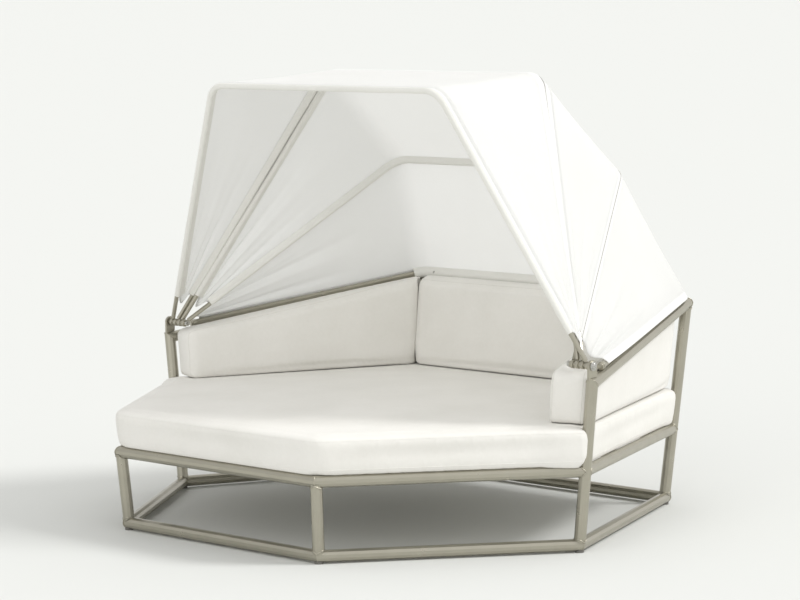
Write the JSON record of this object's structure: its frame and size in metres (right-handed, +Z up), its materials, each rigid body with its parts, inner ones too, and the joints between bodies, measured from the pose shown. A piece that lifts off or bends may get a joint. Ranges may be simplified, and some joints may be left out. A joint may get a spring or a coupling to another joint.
{
  "type": "outdoor daybed with canopy",
  "caption": "Six-sided outdoor daybed: welded tube frame, seat cushion, back cushions along the rear sides, and a cloth canopy on bows that folds back about one axis.",
  "frame": {"origin": "on the floor, under the middle of the bounding box", "axes": "+X to the sitter's left along the pivot axis (the object's width), +Y towards the back rail, +Z up"},
  "size_m": [2.1034, 1.7138, 1.5492],
  "materials": {
    "frame_metal": "powder coated, satin, warm champagne grey",
    "hardware": "turned stainless steel",
    "glide_plastic": "moulded nylon",
    "cushion_cloth": "off-white outdoor weave over foam",
    "canopy_cloth": "white thin woven polyester, slightly translucent"
  },
  "bodies": {
    "frame": {"floor_rail_front": "frame_metal", "floor_rail_front_right": "frame_metal", "floor_rail_rear_right": "frame_metal", "floor_rail_back": "frame_metal", "floor_rail_rear_left": "frame_metal", "floor_rail_front_left": "frame_metal", "seat_rail_front": "frame_metal", "seat_rail_front_right": "frame_metal", "seat_rail_rear_right": "frame_metal", "seat_rail_back": "frame_metal", "seat_rail_rear_left": "frame_metal", "seat_rail_front_left": "frame_metal", "front_left_post": "frame_metal", "front_right_post": "frame_metal", "right_arm_post": "frame_metal", "back_right_post": "frame_metal", "back_left_post": "frame_metal", "left_arm_post": "frame_metal", "right_arm_rail": "frame_metal", "left_arm_rail": "frame_metal", "back_rail": "frame_metal", "glide_front_left": "glide_plastic", "glide_front_right": "glide_plastic", "glide_right": "glide_plastic", "glide_back_right": "glide_plastic", "glide_back_left": "glide_plastic", "glide_left": "glide_plastic", "deck_slat_1": "frame_metal", "deck_slat_2": "frame_metal", "deck_slat_3": "frame_metal", "deck_slat_4": "frame_metal", "deck_beam": "frame_metal", "seat_cushion": "cushion_cloth", "right_cushion": "cushion_cloth", "back_cushion": "cushion_cloth", "left_cushion": "cushion_cloth", "right_pivot_bracket": "frame_metal", "left_pivot_bracket": "frame_metal", "right_pivot_bolt": "hardware", "left_pivot_bolt": "hardware", "right_pivot_nut": "hardware", "left_pivot_nut": "hardware", "base_bow_right_leg": "frame_metal", "base_bow_left_leg": "frame_metal", "base_bow_cross_bar": "frame_metal", "rear_canopy": "canopy_cloth"},
    "rear_bow": {"rear_bow_right_leg": "frame_metal", "rear_bow_left_leg": "frame_metal", "rear_bow_cross_bar": "frame_metal", "crown_canopy": "canopy_cloth"},
    "middle_bow": {"middle_rear_bow_right_leg": "frame_metal", "middle_rear_bow_left_leg": "frame_metal", "middle_rear_bow_cross_bar": "frame_metal", "middle_front_bow_right_leg": "frame_metal", "middle_front_bow_left_leg": "frame_metal", "middle_front_bow_cross_bar": "frame_metal", "front_canopy": "canopy_cloth"},
    "front_bow": {"front_bow_right_leg": "frame_metal", "front_bow_left_leg": "frame_metal", "front_bow_cross_bar": "frame_metal"}
  },
  "joints": [
    {"name": "rear_fold", "type": "hinge", "parent": "frame", "child": "rear_bow", "pos_m": [0, -0.11645, 0.618], "axis": [-1, 0, 0], "range_deg": [0, 24.5], "deforming": ["rear_canopy"]},
    {"name": "middle_fold", "type": "hinge", "parent": "rear_bow", "child": "middle_bow", "pos_m": [0, -0.11645, 0.618], "axis": [-1, 0, 0], "range_deg": [0, 27], "deforming": ["crown_canopy"]},
    {"name": "front_fold", "type": "hinge", "parent": "middle_bow", "child": "front_bow", "pos_m": [0, -0.11645, 0.618], "axis": [-1, 0, 0], "range_deg": [0, 29], "deforming": ["front_canopy"]}
  ]
}
